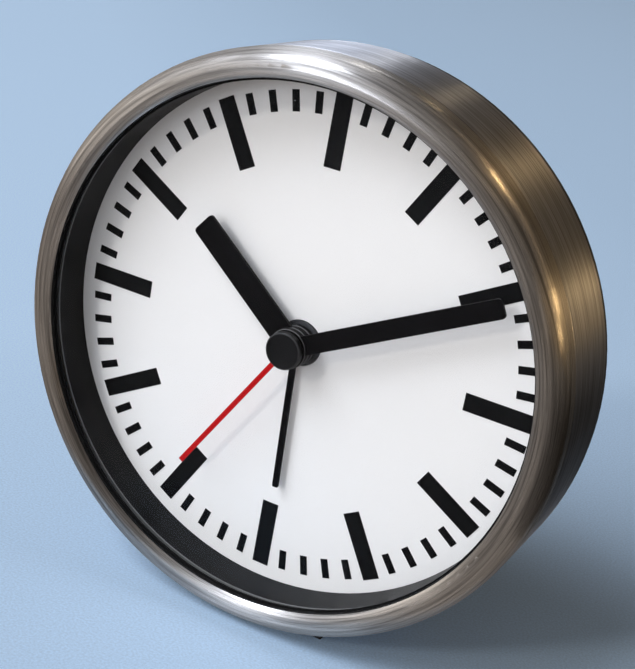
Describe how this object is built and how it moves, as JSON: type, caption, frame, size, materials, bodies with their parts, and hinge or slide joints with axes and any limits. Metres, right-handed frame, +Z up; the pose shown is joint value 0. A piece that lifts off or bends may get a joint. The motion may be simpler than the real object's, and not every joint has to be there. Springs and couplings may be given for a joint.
{
  "type": "table alarm clock",
  "caption": "Round steel table alarm clock that stands on its rim, with a flat glass, a plain bar dial, hour, minute, second and alarm hands and a battery quartz movement.",
  "frame": {"origin": "bottom centre of the bounding box, where the feet stand", "axes": "+Z up through twelve o'clock, the dial faces -Y, +X towards three o'clock"},
  "size_m": [0.1, 0.0352, 0.1009],
  "materials": {
    "bezel_steel": "fine circumferential brush, satin",
    "drum_steel": "coarser brush, satin",
    "gasket_rubber": "soft matt",
    "lens_glass": "clear, polished",
    "ring_black": "satin",
    "dial_white": "matt white lacquer",
    "dial_ink": "printed, satin",
    "case_plastic": "moulded, matt",
    "cover_plastic": "fine spark texture",
    "screw_steel": "blackened",
    "foot_rubber": "matt",
    "hand_black": "satin lacquer",
    "hand_red": "satin lacquer",
    "cap_black": "satin",
    "movement_plastic": "moulded",
    "bright_steel": "zinc plated",
    "wheel_plastic": "moulded acetal",
    "wheel_brass": "turned",
    "magnet": "sintered",
    "core_iron": "stamped",
    "copper_wire": "enamelled wire",
    "board_green": "lacquered laminate",
    "chip_resin": "cast resin",
    "crystal_can": "plated can",
    "buzzer_plastic": "moulded",
    "knob_plastic": "moulded, satin",
    "switch_plastic": "moulded, satin",
    "battery_can": "printed film, plain",
    "contact_metal": "nickel plated"
  },
  "bodies": {
    "case": {"bezel": "bezel_steel", "case_drum": "drum_steel", "gasket": "gasket_rubber", "lens": "lens_glass", "dial_ring": "ring_black", "dial": "dial_white", "hour_marks": "dial_ink", "minute_marks": "dial_ink", "dial_carrier": "case_plastic", "back_cover": "cover_plastic", "cover_screws": "screw_steel", "rubber_feet": "foot_rubber", "movement_front": "movement_plastic", "train_plate": "movement_plastic", "movement_back": "movement_plastic", "movement_screws": "bright_steel", "ear_screws": "bright_steel", "stator": "core_iron", "coil_core": "core_iron", "coil_bobbin": "wheel_plastic", "coil_winding": "copper_wire", "circuit_board": "board_green", "driver_chip": "chip_resin", "quartz_crystal": "crystal_can", "buzzer": "buzzer_plastic", "battery": "battery_can", "plus_contact": "contact_metal", "minus_contact": "contact_metal"},
    "battery_cover": {"battery_door": "cover_plastic"},
    "alarm_slide": {"alarm_switch": "switch_plastic"},
    "time_setter": {"time_shaft": "wheel_plastic", "time_knob": "knob_plastic"},
    "minute_tube": {"cannon_pinion": "wheel_brass", "minute_hand": "hand_black"},
    "motion_arbor": {"motion_wheel": "wheel_plastic"},
    "hour_tube": {"hour_wheel": "wheel_plastic", "hour_hand": "hand_black"},
    "alarm_setter": {"alarm_shaft": "wheel_plastic", "alarm_knob": "knob_plastic"},
    "alarm_tube": {"alarm_wheel": "wheel_plastic", "alarm_hand": "hand_black"},
    "second_arbor": {"second_wheel": "wheel_plastic", "second_hand": "hand_red", "hand_cap": "cap_black"},
    "third_arbor": {"third_wheel": "wheel_brass"},
    "centre_arbor": {"centre_wheel": "wheel_brass"},
    "intermediate_arbor": {"intermediate_wheel": "wheel_plastic"},
    "rotor_arbor": {"rotor_pinion": "wheel_plastic", "rotor_magnet": "magnet"}
  },
  "joints": [
    {"name": "door_slide", "type": "slide", "parent": "case", "child": "battery_cover", "axis": [0, 0, -1], "range_m": [0, 0.016]},
    {"name": "switch_slide", "type": "slide", "parent": "case", "child": "alarm_slide", "axis": [1, 0, 0], "range_m": [0, 0.003]},
    {"name": "time_knob_turn", "type": "hinge", "parent": "case", "child": "time_setter", "pos_m": [-0.02015, -0.00695, 0.0563], "axis": [0, 1, 0], "continuous": true},
    {"name": "minute_turn", "type": "hinge", "parent": "case", "child": "minute_tube", "pos_m": [0, -0.00695, 0.0509], "axis": [0, 1, 0], "continuous": true},
    {"name": "motion_turn", "type": "hinge", "parent": "case", "child": "motion_arbor", "pos_m": [-0.00935, -0.00695, 0.0563], "axis": [0, 1, 0], "continuous": true},
    {"name": "hour_turn", "type": "hinge", "parent": "case", "child": "hour_tube", "pos_m": [0, -0.00695, 0.0509], "axis": [0, 1, 0], "continuous": true},
    {"name": "alarm_knob_turn", "type": "hinge", "parent": "case", "child": "alarm_setter", "pos_m": [0.01591, -0.00695, 0.0563], "axis": [0, 1, 0], "continuous": true},
    {"name": "alarm_turn", "type": "hinge", "parent": "case", "child": "alarm_tube", "pos_m": [0, -0.00695, 0.0509], "axis": [0, 1, 0], "continuous": true},
    {"name": "second_turn", "type": "hinge", "parent": "case", "child": "second_arbor", "pos_m": [0, -0.00695, 0.0509], "axis": [0, 1, 0], "continuous": true},
    {"name": "third_turn", "type": "hinge", "parent": "case", "child": "third_arbor", "pos_m": [0.00349, -0.00695, 0.06048], "axis": [0, 1, 0], "continuous": true},
    {"name": "centre_turn", "type": "hinge", "parent": "case", "child": "centre_arbor", "pos_m": [0, -0.00695, 0.0509], "axis": [0, 1, 0], "continuous": true},
    {"name": "intermediate_turn", "type": "hinge", "parent": "case", "child": "intermediate_arbor", "pos_m": [-0.0086, -0.00695, 0.05692], "axis": [0, 1, 0], "continuous": true},
    {"name": "rotor_turn", "type": "hinge", "parent": "case", "child": "rotor_arbor", "pos_m": [-0.01016, -0.00695, 0.06579], "axis": [0, 1, 0], "continuous": true}
  ],
  "couplings": [
    {"joint": "minute_turn", "follows": "time_knob_turn", "ratio": 1},
    {"joint": "motion_turn", "follows": "time_knob_turn", "ratio": -0.33333},
    {"joint": "hour_turn", "follows": "time_knob_turn", "ratio": 0.083333},
    {"joint": "alarm_turn", "follows": "alarm_knob_turn", "ratio": -1.1},
    {"joint": "third_turn", "follows": "second_turn", "ratio": -0.13333},
    {"joint": "centre_turn", "follows": "second_turn", "ratio": 0.016667},
    {"joint": "intermediate_turn", "follows": "second_turn", "ratio": -6},
    {"joint": "rotor_turn", "follows": "second_turn", "ratio": 30}
  ]
}
